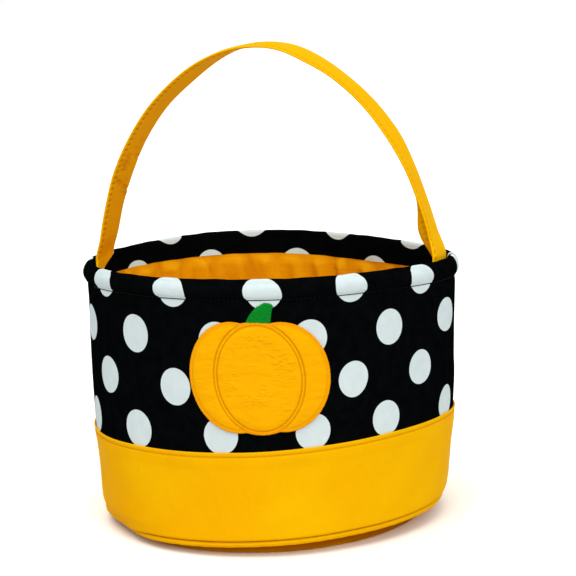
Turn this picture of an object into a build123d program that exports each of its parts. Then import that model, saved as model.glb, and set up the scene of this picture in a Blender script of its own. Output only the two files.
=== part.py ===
"""Pumpkin candy pail: a round sewn bucket with a rolled rim, a strap handle and a pumpkin applique.

Millimetres, +Z up, origin on the floor under the middle of the base, applique facing -Y.
"""

from build123d import *
import math
import os

# Pail wall: radii are those of the dotted panel's outer face
RIM_RADIUS = 120.0  # at the rim stitching
BAND_RADIUS = 118.2  # at the top edge of the band
BASE_RADIUS = 112.6  # at the base seam
PAIL_HEIGHT = 178.0  # floor to the top of the rolled rim
BAND_HEIGHT = 70.0  # floor to the top edge of the band

# Rolled rim
RIM_DEPTH = 13.0  # rim stitching below the top of the rim
FACING_DEPTH = 16.5  # seam of facing and lining below the top of the rim
RIM_BULGE = 2.5  # swell of the roll outside the stitching
BULGE_RISE = 6.0  # fullest point of the roll above the stitching
BONING_HEIGHT = 8.0
BONING_THICKNESS = 1.0
BONING_SPLIT = 3.0  # gap between the ends of the boning, at the back seam

# Cloth, foam and board
PANEL_THICKNESS = 0.8
BAND_THICKNESS = 0.9
LINING_THICKNESS = 0.6
FOAM_THICKNESS = 3.0
BOARD_THICKNESS = 1.6
BASE_THICKNESS = 0.9
LAYER_GAP = 0.1  # between layers that lie on each other
BAND_HEM = 9.0  # folded edge at the top of the band
HEM_SLOPE = 3.0  # height over which the band swells to its hem
PANEL_TUCK = 10.0  # panel hidden behind the band
SEAM_ALLOWANCE = 8.0  # edges turned in at the base

# Piping round the base
PIPING_DIAMETER = 4.4
PIPING_CORD = 2.6  # diameter of the cord inside
PIPING_INSET = 2.6  # middle of the piping inside the base seam
PIPING_LIFT = 0.3  # piping above the floor
PIPING_FLANGE = 1.2  # two layers of the bias strip

# Handle
STRAP_WIDTH = 38.0
STRAP_THICKNESS = 2.4
CORE_WIDTH = 33.0
CORE_THICKNESS = 1.0
STRAP_CLEARANCE = 0.3  # strap to the rim's facing
HINGE_RISE = 12.0  # line where the strap flexes, above the rim
HINGE_GAP = 0.3  # strap to its sewn ends
HANDLE_RISE = 129.5  # middle of the strap's crown above the flex line
FLEX_BEND = 60.0  # bend of the strap just above the flex line
LEG_LEAN = 13.0  # lean of each leg above that bend, in degrees
CROWN_RADIUS = 62.0  # bend of the strap at its crown
HANDLE_YAW = 5.0  # sewn ends round from the pail's sides, right end to the front, in degrees

# Pumpkin applique
LOBE_WIDTH = 56.0
LOBE_SPREAD = 15.6  # side lobes from the middle lobe
LOBE_LIFT = 1.2  # side lobes above the middle lobe
PATCH_FOOT = 10.5  # pumpkin above the band
STEM_RISE = 11.5  # stem above the pumpkin
STEM_GAP = 1.0  # stem below the rim stitching
STEM_BASE = 13.5  # width of the stem where it meets the pumpkin
STEM_TIP = 6.0
STEM_LEAN = 7.0  # tip to the right of the middle of the base
PATCH_THICKNESS = 1.4
STEM_THICKNESS = 1.4
OUTLINE_WIDTH = 2.6  # satin stitch round the lobes
OUTLINE_HEIGHT = 0.9

# Places worked out from the sizes above
rim_seam = PAIL_HEIGHT - RIM_DEPTH
facing_seam = PAIL_HEIGHT - FACING_DEPTH
lining_setback = PANEL_THICKNESS + FOAM_THICKNESS + 2 * LAYER_GAP
facing_radius = RIM_RADIUS - lining_setback - PANEL_THICKNESS
tuck_end = BAND_HEIGHT - PANEL_TUCK

piping_height = PIPING_LIFT + PIPING_DIAMETER / 2
piping_radius = BASE_RADIUS - PIPING_INSET
base_seam = PIPING_LIFT + PIPING_DIAMETER + LAYER_GAP
seam_edge = BASE_RADIUS - SEAM_ALLOWANCE
seam_top = base_seam + BAND_THICKNESS

foam_floor = BASE_THICKNESS + LAYER_GAP
board_floor = foam_floor + FOAM_THICKNESS + LAYER_GAP
lining_floor = max(board_floor + BOARD_THICKNESS, seam_top) + LAYER_GAP

bulge_radius = (RIM_BULGE**2 + BULGE_RISE**2) / (2 * RIM_BULGE)
bulge_centre = (RIM_RADIUS + RIM_BULGE - bulge_radius, rim_seam + BULGE_RISE)
bulge_reach = facing_radius - bulge_centre[0]
bulge_drop = PAIL_HEIGHT - bulge_centre[1]
half_sum = bulge_reach - bulge_drop + bulge_radius
top_radius = math.sqrt(half_sum**2 - bulge_reach**2 - bulge_drop**2 + bulge_radius**2) - half_sum
top_centre = (facing_radius + top_radius, PAIL_HEIGHT - top_radius)
roll_angle = math.degrees(math.atan2(top_centre[1] - bulge_centre[1], top_centre[0] - bulge_centre[0]))

hinge_height = PAIL_HEIGHT + HINGE_RISE
strap_face = math.sqrt((facing_radius - STRAP_CLEARANCE) ** 2 - (STRAP_WIDTH / 2) ** 2)
strap_reach = strap_face - STRAP_THICKNESS / 2

patch_low = BAND_HEIGHT + PATCH_FOOT
patch_high = rim_seam - STEM_GAP - STEM_RISE
patch_middle = (patch_low + patch_high) / 2
lobe_height = patch_high - patch_low


def panel_radius(height):
    """Radius of the panel's outer face: one taper behind the band and another above it."""
    if height < BAND_HEIGHT:
        share = (height - base_seam) / (BAND_HEIGHT - base_seam)
        return BASE_RADIUS + share * (BAND_RADIUS - BASE_RADIUS)
    share = (height - BAND_HEIGHT) / (rim_seam - BAND_HEIGHT)
    return BAND_RADIUS + share * (RIM_RADIUS - BAND_RADIUS)


def wall_line(heights, offset):
    """Points down or up the wall, offset from the panel's outer face."""
    return [(panel_radius(height) + offset, height) for height in heights]


def turned(profile):
    """A ring turned about the pail's axis from a closed profile of radius and height."""
    return revolve(Plane.XZ * make_face(profile), Axis.Z)


def ring(points):
    return turned(Polyline(points, close=True))


def disc(radius, low, thickness):
    return Pos(Z=low) * Cylinder(radius, thickness, align=(Align.CENTER, Align.CENTER, Align.MIN))


def polar(centre, radius, angle):
    turn = math.radians(angle)
    return (centre[0] + radius * math.cos(turn), centre[1] + radius * math.sin(turn))


def bend(centre, radius, start, end):
    """An arc about a centre, from one angle to another."""
    angles = (start, (start + end) / 2, end)
    return ThreePointArc(*[polar(centre, radius, angle) for angle in angles])


def roll(inset, facing_end):
    """The rolled rim's bulge, crown and facing, inset from its outer face, from the stitching round to the facing's end."""
    bulge_start = -math.degrees(math.asin(BULGE_RISE / (bulge_radius - inset)))
    bulge = bend(bulge_centre, bulge_radius - inset, bulge_start, roll_angle)
    crown = bend(top_centre, top_radius - inset, roll_angle, 180)
    facing = Line(crown @ 1, (facing_radius + inset, facing_end))
    return [bulge, crown, facing]


def upper_panel():
    """Dotted cloth: the wall, rolled over the rim and down inside as the facing."""
    outside = roll(0, facing_seam)
    inside = roll(PANEL_THICKNESS, facing_seam)
    outer_wall = Polyline(*wall_line([tuck_end, BAND_HEIGHT], 0), outside[0] @ 0)
    inner_wall = Polyline(
        *wall_line([tuck_end, BAND_HEIGHT, rim_seam], -PANEL_THICKNESS), inside[0] @ 0
    )
    foot = Line(inner_wall @ 0, outer_wall @ 0)
    hem = Line(outside[2] @ 1, inside[2] @ 1)
    return turned([outer_wall, *outside, hem, *inside, inner_wall, foot])


def rim_padding():
    """Foam folded over the boning inside the rolled rim, open along its lower edge."""
    skin = roll(PANEL_THICKNESS + LAYER_GAP, rim_seam)
    filling = turned([*skin, Line(skin[2] @ 1, skin[0] @ 0)])
    slot_radius, slot_half = boning_radius(), BONING_THICKNESS / 2 + LAYER_GAP
    slot_top = rim_seam + BONING_HEIGHT + LAYER_GAP
    slot = ring(
        [
            (slot_radius - slot_half, rim_seam),
            (slot_radius + slot_half, rim_seam),
            (slot_radius + slot_half, slot_top),
            (slot_radius - slot_half, slot_top),
        ]
    )
    return filling - slot


def boning_radius():
    """Middle of the boning, halfway between the facing and the stitching."""
    skin = roll(PANEL_THICKNESS + LAYER_GAP, rim_seam)
    return ((skin[0] @ 0).X + (skin[2] @ 1).X) / 2


def rim_boning():
    """Flat strip bent to a hoop, with its ends butted at the back seam."""
    hoop = disc(boning_radius() + BONING_THICKNESS / 2, rim_seam, BONING_HEIGHT)
    hoop -= disc(boning_radius() - BONING_THICKNESS / 2, rim_seam, BONING_HEIGHT)
    split = Pos(0, RIM_RADIUS, rim_seam) * Box(BONING_SPLIT, 2 * RIM_DEPTH, 2 * BONING_HEIGHT)
    return hoop - split


def lower_band():
    """Plain band over the foot of the panel, hemmed at the top and turned in at the base seam."""
    single, double = LAYER_GAP + BAND_THICKNESS, LAYER_GAP + 2 * BAND_THICKNESS
    hem_foot = BAND_HEIGHT - BAND_HEM
    outer = wall_line([base_seam, hem_foot - HEM_SLOPE], single) + wall_line([hem_foot, BAND_HEIGHT], double)
    inner = wall_line([BAND_HEIGHT, seam_top], LAYER_GAP)
    return ring([*outer, *inner, (seam_edge, seam_top), (seam_edge, base_seam)])


def wall_foam():
    """Foam sheet between panel and lining, full to the band below the panel's lower edge."""
    behind_panel = -PANEL_THICKNESS - LAYER_GAP
    foot, step = lining_floor, tuck_end - LAYER_GAP
    outer = wall_line([foot, step], 0) + wall_line([step, BAND_HEIGHT, rim_seam], behind_panel)
    inner = wall_line([rim_seam, BAND_HEIGHT, foot], behind_panel - FOAM_THICKNESS)
    return ring([*outer, *inner])


def lining_wall():
    """Lining sewn to the lower edge of the facing and standing on the lining's base."""
    foot = lining_floor + LINING_THICKNESS + LAYER_GAP
    heights = [foot, BAND_HEIGHT, facing_seam - LAYER_GAP]
    outer = wall_line(heights, -lining_setback)
    inner = wall_line(heights[::-1], -lining_setback - LINING_THICKNESS)
    return ring([*outer, *inner])


def lining_base():
    return disc(panel_radius(lining_floor) - lining_setback, lining_floor, LINING_THICKNESS)


def base_board():
    return disc(seam_edge - LAYER_GAP, board_floor, BOARD_THICKNESS)


def base_foam():
    return disc(seam_edge - LAYER_GAP, foam_floor, FOAM_THICKNESS)


def base_panel():
    return disc(piping_radius - PIPING_DIAMETER / 2 - LAYER_GAP, 0, BASE_THICKNESS)


def piping_cord():
    return Pos(Z=piping_height) * Torus(piping_radius, PIPING_CORD / 2)


def piping_cover():
    """Bias strip wrapped round the cord, with its two edges sewn flat inside the base seam."""
    tube = Pos(Z=piping_height) * Torus(piping_radius, PIPING_DIAMETER / 2)
    flange = disc(piping_radius - PIPING_CORD / 2 - LAYER_GAP, foam_floor, PIPING_FLANGE)
    flange -= disc(seam_edge, foam_floor, PIPING_FLANGE)
    bore = Pos(Z=piping_height) * Torus(piping_radius, PIPING_CORD / 2 + LAYER_GAP)
    return tube + flange - bore


def on_handle(shape):
    """Turns a shape from square across the pail to where the handle's ends are sewn."""
    return Rot(Z=-HANDLE_YAW) * shape


def strap_end(side):
    """End of the strap sewn flat to the rim's facing, below the line where the strap flexes."""
    low, high = facing_seam, hinge_height - STRAP_WIDTH / 2 - HINGE_GAP
    tab = Pos(side * strap_reach, 0, (low + high) / 2) * Box(STRAP_THICKNESS, STRAP_WIDTH, high - low)
    return on_handle(tab)


def handle_path():
    """Half arch on each side: it bends in above the flex line, rises as a leaning leg and bends into the crown."""
    flex_centre = (strap_reach - FLEX_BEND, hinge_height)
    crown_centre = (0, hinge_height + HANDLE_RISE - CROWN_RADIUS)
    foot = polar(flex_centre, FLEX_BEND, LEG_LEAN)
    across, down = foot[0] - crown_centre[0], foot[1] - crown_centre[1]
    lean = math.radians(LEG_LEAN)
    reach_out = across * math.cos(lean) + down * math.sin(lean)
    leg_radius = (across**2 + down**2 - CROWN_RADIUS**2) / (2 * (reach_out - CROWN_RADIUS))
    leg_centre = polar(foot, -leg_radius, LEG_LEAN)
    meet = math.degrees(math.atan2(crown_centre[1] - leg_centre[1], -leg_centre[0]))
    turns = [(flex_centre, FLEX_BEND, 0, LEG_LEAN), (leg_centre, leg_radius, LEG_LEAN, meet)]
    right = [bend(*turn) for turn in turns]
    crown = bend(crown_centre, CROWN_RADIUS, meet, 180 - meet)
    left = [
        bend((-centre[0], centre[1]), radius, 180 - end, 180 - start) for centre, radius, start, end in turns[::-1]
    ]
    return Plane.XZ * Wire([*right, crown, *left])


def along_handle(width, thickness):
    """A flat strip of the strap's bend, from flex line to flex line."""
    section = Plane((strap_reach, 0, hinge_height)) * Rectangle(thickness, width)
    return sweep(section, handle_path())


def strap_blank():
    """The whole strap, with ends rounded about the flex line so that it can swing."""
    blank = along_handle(STRAP_WIDTH, STRAP_THICKNESS)
    for side in (-1, 1):
        end = Cylinder(STRAP_WIDTH / 2, STRAP_THICKNESS, rotation=(0, 90, 0))
        below = Box(STRAP_THICKNESS, STRAP_WIDTH, STRAP_WIDTH, align=(Align.CENTER, Align.CENTER, Align.MAX))
        blank += Pos(side * strap_reach, 0, hinge_height) * (end & below)
    return blank


def handle_core():
    """Stiffening tape inside the strap, cut to the strap's rounded ends."""
    core = along_handle(CORE_WIDTH, CORE_THICKNESS)
    for side in (-1, 1):
        tail = Box(CORE_THICKNESS, CORE_WIDTH, STRAP_WIDTH, align=(Align.CENTER, Align.CENTER, Align.MAX))
        core += Pos(side * strap_reach, 0, hinge_height) * tail
    return core & strap_blank()


def handle_strap():
    """Cloth sewn into a flat tube round the tape."""
    return strap_blank() - handle_core()


def lobe(spread, lift, growth):
    """One lobe of the pumpkin, drawn flat, grown or shrunk all round."""
    oval = Ellipse(LOBE_WIDTH / 2 + growth, (lobe_height - LOBE_LIFT) / 2 + growth)
    return Pos(spread, patch_middle - LOBE_LIFT / 2 + lift) * oval


def pumpkin(growth):
    sides = [lobe(side * LOBE_SPREAD, LOBE_LIFT, growth) for side in (-1, 1)]
    return lobe(0, 0, growth) + sides[0] + sides[1]


def stem():
    """Stem drawn flat: it rises from the middle of the pumpkin and leans to the right."""
    foot, top = patch_middle, rim_seam - STEM_GAP
    neck = patch_high - OUTLINE_WIDTH
    left, right = -STEM_BASE / 2 - LOBE_LIFT, STEM_BASE / 2 - LOBE_LIFT
    tip_left, tip_right = STEM_LEAN - STEM_TIP, STEM_LEAN
    left_edge = ThreePointArc((left, neck), ((left + tip_left) / 2 - 1, (neck + top) / 2), (tip_left, top))
    right_edge = ThreePointArc((tip_right, top - 1), ((right + tip_right) / 2 - 1, (neck + top) / 2), (right, neck))
    edges = [left_edge, Line((tip_left, top), (tip_right, top - 1)), right_edge]
    edges += [Polyline((right, neck), (right, foot), (left, foot), (left, neck))]
    return make_face(edges) - pumpkin(OUTLINE_WIDTH / 2 + LAYER_GAP)


def on_panel(outline, lift, thickness):
    """Lays a flat outline on the front of the wall as a skin that follows the panel."""
    heights = [BAND_HEIGHT, rim_seam]
    skin = ring(wall_line(heights, lift) + wall_line(heights[::-1], lift + thickness))
    return skin & extrude(Plane.XZ * outline, RIM_RADIUS + RIM_DEPTH)


def pumpkin_patch():
    return on_panel(pumpkin(0), LAYER_GAP, PATCH_THICKNESS)


def pumpkin_stem():
    return on_panel(stem(), LAYER_GAP, STEM_THICKNESS)


def pumpkin_outline():
    """Satin stitch round the pumpkin and round its middle lobe."""
    half = OUTLINE_WIDTH / 2
    border = pumpkin(half) - pumpkin(-half)
    middle = lobe(0, 0, half) - lobe(0, 0, -half)
    return on_panel(border + middle, PATCH_THICKNESS + 2 * LAYER_GAP, OUTLINE_HEIGHT)


PIECES = {
    "upper_panel": upper_panel,
    "lower_band": lower_band,
    "wall_foam": wall_foam,
    "lining_wall": lining_wall,
    "lining_base": lining_base,
    "rim_padding": rim_padding,
    "rim_boning": rim_boning,
    "base_panel": base_panel,
    "base_foam": base_foam,
    "base_board": base_board,
    "piping_cord": piping_cord,
    "piping_cover": piping_cover,
    "strap_end_left": lambda: strap_end(-1),
    "strap_end_right": lambda: strap_end(1),
    "handle_strap": lambda: on_handle(handle_strap()),
    "handle_core": lambda: on_handle(handle_core()),
    "pumpkin_patch": pumpkin_patch,
    "pumpkin_outline": pumpkin_outline,
    "pumpkin_stem": pumpkin_stem,
}

os.makedirs("parts", exist_ok=True)
for name, make in PIECES.items():
    export_step(make(), os.path.join("parts", name + ".step"))
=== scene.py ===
import math

import bmesh
import bpy
import numpy as np
from mathutils import Matrix, Vector


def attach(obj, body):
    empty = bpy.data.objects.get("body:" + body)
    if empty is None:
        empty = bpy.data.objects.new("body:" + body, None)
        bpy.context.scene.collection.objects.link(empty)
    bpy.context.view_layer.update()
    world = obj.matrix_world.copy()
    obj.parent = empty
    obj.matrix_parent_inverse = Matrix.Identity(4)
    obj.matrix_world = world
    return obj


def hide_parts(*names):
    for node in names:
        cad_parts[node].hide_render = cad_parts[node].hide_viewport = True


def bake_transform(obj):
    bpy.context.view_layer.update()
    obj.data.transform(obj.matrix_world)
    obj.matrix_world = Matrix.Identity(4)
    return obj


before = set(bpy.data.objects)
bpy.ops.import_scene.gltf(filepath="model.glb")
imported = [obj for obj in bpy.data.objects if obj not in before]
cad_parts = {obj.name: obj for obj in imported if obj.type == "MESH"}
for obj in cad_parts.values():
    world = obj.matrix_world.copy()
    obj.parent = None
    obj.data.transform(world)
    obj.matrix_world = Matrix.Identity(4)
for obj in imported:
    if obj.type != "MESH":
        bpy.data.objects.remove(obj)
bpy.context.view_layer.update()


# Base panel: a round of the band's coated cloth, cut flat and sewn to the piping all round.
# The foam over it makes it bulge below its seam, and the soft pail leans on it a little out of round.
# Sizes are in millimetres and angles go round from the front, in radians.
MM = 0.001
STEPS_ROUND = 360
WALL_RADIUS = 119.0
BASE_RADIUS, BASE_THICKNESS, BASE_BULGE = 107.7, 0.9, 3.5
BASE_FLAT, BASE_SEAM = 100.0, 107.0
FLAT_SHORT, FLAT_SHORT_AT, FLAT_SHORT_WIDE = 5.0, 1.2, 0.6
AMBER, AMBER_DEEP = (0.96, 0.525, 0.0010), (0.95, 0.435, 0.0008)
# Brown of the painted shade in the base below its seam, on the piping's top and in the band's seam and stitch
# row.
PAINTED_SHADE_BROWN = (0.42, 0.1, 0.0)

# How far the pail stands out of round at the floor, at the band's top edge and at the rim.
# Pairs go with the cosine and the sine of the angle, and the shift's with sideways and back.
# Lobes are in percent.
SLUMP_HEIGHTS = (0.0, 70.0, 164.0)
LOBES = {
    2: ((-3.88, -2.54, -1.05), (-2.89, -1.38, -0.26)),
    3: ((0.82, -0.26, -0.47), (0.25, -0.42, -0.87)),
    4: ((0.13, 1.89, 3.25), (-0.01, 1.00, 0.97)),
}
SHIFT = ((-0.73, 0.15, 0.52), (0.68, -0.48, -0.11))
TILT = ((-0.01, -1.87, 0.17), (3.07, 1.78, -1.34))
WAVE = ((0.00, 0.44, 1.19), (0.00, 1.43, 0.81))
FOOT_LIFT = 3.07
FOOT_ROLL, FOOT_ROLL_AT, FOOT_ROLL_WIDE, FOOT_ROLL_UP = 6.0, -1.13, 0.3, (3, 16)
CORNER_PUSH, CORNER_FROM, CORNER_DROP = 0.005, 0.71, 0.16
RUMPLES = ((0.22, 7, 1 / 31, 0.6), (0.16, 12, -1 / 19, -1.1))
FACING_WAVE = {1: (0.37, -0.24), 2: (-0.66, 0.68)}
FACING_HEIGHTS, FACING_OUTER, FACING_FADE = (120, 155, 165, 176), 117.2, 1.6


def smooth(low, high, value):
    """Rises softly from 0 at low to 1 at high."""
    share = np.clip((np.asarray(value, float) - low) / (high - low), 0, 1)
    return share * share * (3 - 2 * share)


def mound(start, full, falling, end, value):
    """Rises softly from 0 at start to 1 at full, and goes back to 0 between falling and end."""
    return smooth(start, full, value) * (1 - smooth(falling, end, value))


def near(middle, width, value):
    """1 at a middle, fading to both sides."""
    return np.exp(-(((value - middle) / width) ** 2))


def ripples(waves, turn, along):
    """Sum of waves, each with its height, its count round the pail, its slant and its start."""
    return sum(height * np.sin(count * turn + slant * along + start) for height, count, slant, start in waves)


def slumped(angle, radius, height):
    """Where a point of the pail as sewn lies on the pail as it stands."""
    angle, radius, height = np.broadcast_arrays(angle, radius, height)

    def at_height(pair):
        return [np.interp(height, SLUMP_HEIGHTS, values) for values in pair]

    def round_wave(count, cosine, sine):
        return cosine * np.cos(count * angle) + sine * np.sin(count * angle)

    swell = sum(round_wave(count, *at_height(pair)) for count, pair in LOBES.items())
    rolled_in = FOOT_ROLL * near(FOOT_ROLL_AT, FOOT_ROLL_WIDE, angle) * (1 - smooth(*FOOT_ROLL_UP, height))
    reach = radius * (1 + 0.01 * swell) + ripples(RUMPLES, angle, height) * smooth(20, 90, radius)
    reach = reach - rolled_in * smooth(60, 100, radius)
    square = CORNER_PUSH * at_height(LOBES[4])[0] * radius * (1 + np.cos(4 * angle))
    pushed = square * (smooth(CORNER_FROM, 1, np.cos(angle)) - smooth(CORNER_FROM, 1, -np.cos(angle)))
    lift = BASE_BULGE + FOOT_LIFT * np.clip(1 - height / SLUMP_HEIGHTS[1], 0, 1)
    lift = lift + round_wave(1, *at_height(TILT)) + round_wave(2, *at_height(WAVE)) - CORNER_DROP * pushed
    flat_to = BASE_FLAT - FLAT_SHORT * near(FLAT_SHORT_AT, FLAT_SHORT_WIDE, angle)
    rise = smooth(flat_to, BASE_SEAM, radius) * lift
    inside = np.clip((FACING_OUTER - radius) / FACING_FADE, 0, 1)
    inside = inside * np.interp(height, FACING_HEIGHTS, (0, 1, 1, 0))
    rise = rise + inside * sum(round_wave(count, *pair) for count, pair in FACING_WAVE.items())
    sideways, back = at_height(SHIFT)
    x, y = reach * np.sin(angle) + sideways, -reach * np.cos(angle) + back + pushed
    return np.stack((x, y, height + rise), -1)


def line(*corners, step=3.0):
    """Points along straight runs of a profile of radius and height."""
    points = [np.array(corners[:1], float)]
    for start, end in zip(corners, corners[1:]):
        count = max(1, math.ceil(math.dist(start, end) / step))
        shares = np.linspace(0, 1, count + 1)[1:, None]
        points.append((1 - shares) * np.array(start, float) + shares * np.array(end, float))
    return np.concatenate(points)


def joined(*runs):
    """Runs of a profile set end to end, without doubled points."""
    points = np.concatenate(runs)
    apart = np.linalg.norm(np.diff(points, axis=0), axis=1) > 1e-3
    return points[np.concatenate(([True], apart))]


def lengths(path):
    """Distance along a path at each of its points."""
    return np.concatenate(([0], np.cumsum(np.linalg.norm(np.diff(path, axis=0), axis=1))))


def facing_out(profile):
    """Direction out of the cloth at each point of a profile that goes up outside and down inside."""
    along = np.gradient(profile, axis=0)
    out = np.stack((along[:, 1], -along[:, 0]), 1)
    return out / np.maximum(np.linalg.norm(out, axis=1, keepdims=True), 1e-9)


def net(rows, columns, ring=False):
    """Faces of a net of points that closes round its columns, with each face's row and column."""
    low = np.repeat(np.arange(rows if ring else rows - 1), columns)
    left = np.tile(np.arange(columns), len(low) // columns)
    high, right = (low + 1) % rows * columns, (left + 1) % columns
    faces = np.stack((low * columns + left, low * columns + right, high + right, high + left), 1)
    return faces, low, left


def sewn_mesh(name, points, faces, cloth_map, material, sharp=50):
    """An object from points, faces and a map of the flat cloth."""
    mesh = bpy.data.meshes.new(name)
    mesh.from_pydata((np.asarray(points).reshape(-1, 3) * MM).tolist(), [], faces)
    if cloth_map is not None:
        flat = mesh.uv_layers.new(name="cloth")
        flat.data.foreach_set("uv", np.asarray(cloth_map, np.float32).ravel() * MM)
    mesh.materials.append(material)
    mesh.polygons.foreach_set("use_smooth", np.ones(len(mesh.polygons), bool))
    mesh.set_sharp_from_angle(angle=math.radians(sharp))
    mesh.update()
    piece = bpy.data.objects.new(name, mesh)
    bpy.context.scene.collection.objects.link(piece)
    return piece


def mark(piece, name, values):
    """Keeps a value for each point of a piece, which its material reads."""
    field = piece.data.attributes.new(name, "FLOAT", "POINT")
    field.data.foreach_set("value", np.asarray(values, np.float32).ravel())


def turned(name, profile, material, along=None, steps=STEPS_ROUND, puff=None, loop=True, cut=None):
    """A ring or round from a profile that goes up outside. Puff swells it, and cut maps its flat cloth."""
    along = lengths(profile) if along is None else along
    angles = np.linspace(-math.pi, math.pi, steps + 1)
    turn, rows = np.meshgrid(angles[:-1], np.arange(len(profile)))
    place = profile[rows]
    if puff is not None:
        place = place + facing_out(profile)[rows] * puff(turn, along[rows])[..., None]
    points = slumped(turn, place[..., 0], place[..., 1])
    faces, low, left = net(len(profile), steps, loop)
    edges = np.stack((angles[left], angles[left + 1], angles[left + 1], angles[left]), 1)
    ends = np.append(along, along[0])
    down = np.stack((ends[low], ends[low], ends[low + 1], ends[low + 1]), 1)
    across, down = (edges * WALL_RADIUS, down) if cut is None else cut(edges, down)
    piece = sewn_mesh(name, points, faces.tolist(), np.stack((across, down), -1), material)
    if not loop:
        shell = bmesh.new()
        shell.from_mesh(piece.data)
        bmesh.ops.remove_doubles(shell, verts=shell.verts, dist=1e-7)
        shell.to_mesh(piece.data)
        shell.free()
    return piece


def disc(radius, low, high):
    """Profile of a round that lies flat, from the middle of its underside to the middle of its top."""
    middle, edge = 90, 0.2
    under = joined(
        line((0, low), (middle, low), step=6), line((middle, low), (radius - edge, low), step=1.5)
    )
    top = under[::-1] * (1, 0) + (0, high)
    return joined(under, line((radius, low + edge), (radius, high - edge)), top)


class Nodes:
    """Short ways to add nodes to a tree. A value is a number, a colour or another node's socket."""

    def __init__(self, tree):
        self.tree = tree

    def put(self, socket, value):
        if isinstance(value, bpy.types.NodeSocket):
            self.tree.links.new(value, socket)
        else:
            socket.default_value = (*value, 1) if socket.type == "RGBA" else value

    def add(self, kind, inputs=(), **settings):
        made = self.tree.nodes.new(kind)
        for setting, value in settings.items():
            setattr(made, setting, value)
        for socket, value in dict(inputs).items():
            self.put(made.inputs[socket], value)
        return made

    def node(self, kind, inputs=(), **settings):
        return self.add("ShaderNode" + kind, inputs, **settings)

    def math(self, operation, *values):
        return self.node("Math", enumerate(values), operation=operation).outputs[0]

    def times(self, first, second):
        return self.math("MULTIPLY", first, second)

    def plus(self, first, second):
        return self.math("ADD", first, second)

    def minus(self, first, second):
        return self.math("SUBTRACT", first, second)

    def larger(self, first, second):
        return self.math("MAXIMUM", first, second)

    def blend(self, share, first, second):
        return self.node("Mix", {0: share, 6: first, 7: second}, data_type="RGBA").outputs[2]


class Finish(Nodes):
    """A piece's material."""

    def __init__(self, name, **surface):
        self.material = bpy.data.materials.new(name)
        self.material.use_nodes = True
        super().__init__(self.material.node_tree)
        self.set(**surface)

    def set(self, **surface):
        """Sets sockets of the shader, each named with _ for a space."""
        shader = self.tree.nodes["Principled BSDF"]
        for socket, value in surface.items():
            self.put(shader.inputs[socket.replace("_", " ")], value)

    def cloth(self):
        """The piece's own map of its cloth: across and along, in metres."""
        flat = self.node("UVMap", uv_map="cloth").outputs[0]
        parts = self.node("SeparateXYZ", {0: flat})
        return flat, parts.outputs[0], parts.outputs[1]

    def place(self):
        return self.node("TexCoord").outputs["Object"]

    def own(self, name):
        """The value that each point of the piece keeps under a name."""
        return self.node("Attribute", attribute_name=name).outputs["Fac"]

    def stretched(self, vector, *scale):
        return self.node("Mapping", {"Vector": vector, "Scale": scale}).outputs[0]

    def noise(self, vector, scale, detail=3.0, roughness=0.55):
        inputs = {"Vector": vector, "Scale": scale, "Detail": detail, "Roughness": roughness}
        return self.node("TexNoise", inputs).outputs["Fac"]

    def ramp(self, value, low, high, to_low=0, to_high=1):
        inputs = {0: value, 1: low, 2: high, 3: to_low, 4: to_high}
        return self.node("MapRange", inputs, interpolation_type="SMOOTHSTEP").outputs[0]

    def weighted(self, first, second):
        """Sum of two values, each given with its weight."""
        return self.plus(self.times(*first), self.times(*second))

    def hypot(self, across, along):
        """How far a place lies from the start of both axes."""
        place = self.node("CombineXYZ", {0: across, 1: along}).outputs[0]
        return self.node("VectorMath", {0: place}, operation="LENGTH").outputs["Value"]

    def weave(self, across, along, pitch):
        """Height of a plain weave, with threads over and under each other."""
        warp, weft = (self.math("SINE", self.times(way, 2 * math.pi / pitch)) for way in (across, along))
        return self.times(warp, weft)

    def bumps(self, *layers):
        """Bump of several heights, each with its depth in metres, on the shader."""
        normal = {}
        for height, depth in layers:
            inputs = {"Height": height, "Distance": depth, "Strength": 1.0, **normal}
            normal = {"Normal": self.node("Bump", inputs).outputs[0]}
        self.set(**normal)

    def grained(self, share, shade, pale, height, depth):
        """A plain finish of two colours and one bump."""
        self.set(Base_Color=self.blend(share, shade, pale))
        self.bumps((height, depth))
        return self.material


def coated_cloth():
    """Amber cloth with a thin smooth coat over its weave, and painted shade in brown where a piece marks it.
    """
    finish = Finish("band_cloth", Specular_IOR_Level=0.004)
    flat, across, along = finish.cloth()
    body, slow = finish.noise(finish.place(), 26, 4), finish.noise(finish.place(), 8, 2)
    fibre = finish.noise(finish.stretched(flat, 1, 5, 1), 260, 3)
    tone = finish.weighted((finish.plus(body, slow), 0.4), (fibre, 0.2))
    colour = finish.blend(finish.ramp(tone, 0.3, 0.7), AMBER_DEEP, AMBER)
    finish.set(
        Base_Color=finish.blend(finish.own("painted_shade"), colour, PAINTED_SHADE_BROWN),
        Roughness=finish.ramp(fibre, 0.3, 0.7, 0.42, 0.56),
    )
    finish.bumps(
        (finish.weave(across, along, 0.0011), 0.00003),
        (finish.noise(flat, 420, 4, 0.6), 0.00022),
        (finish.noise(finish.stretched(flat, 1.0, 0.45, 1), 34, 3), 0.0016),
    )
    return finish.material


band_cloth = coated_cloth()
base_panel = turned("base_round", disc(BASE_RADIUS, 0.0, BASE_THICKNESS), band_cloth, loop=False)
# Painted shade: the base turns dark brown as it rises off the floor toward its seam, darkest up by the seam
# under the piping.
raised = np.array([vertex.co.z for vertex in base_panel.data.vertices]) / MM
mark(base_panel, "painted_shade", 0.8 * smooth(0.2, 1.4, raised) + 0.2 * smooth(1.4, 5.0, raised))
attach(base_panel, "pail")
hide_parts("base_panel")


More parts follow.
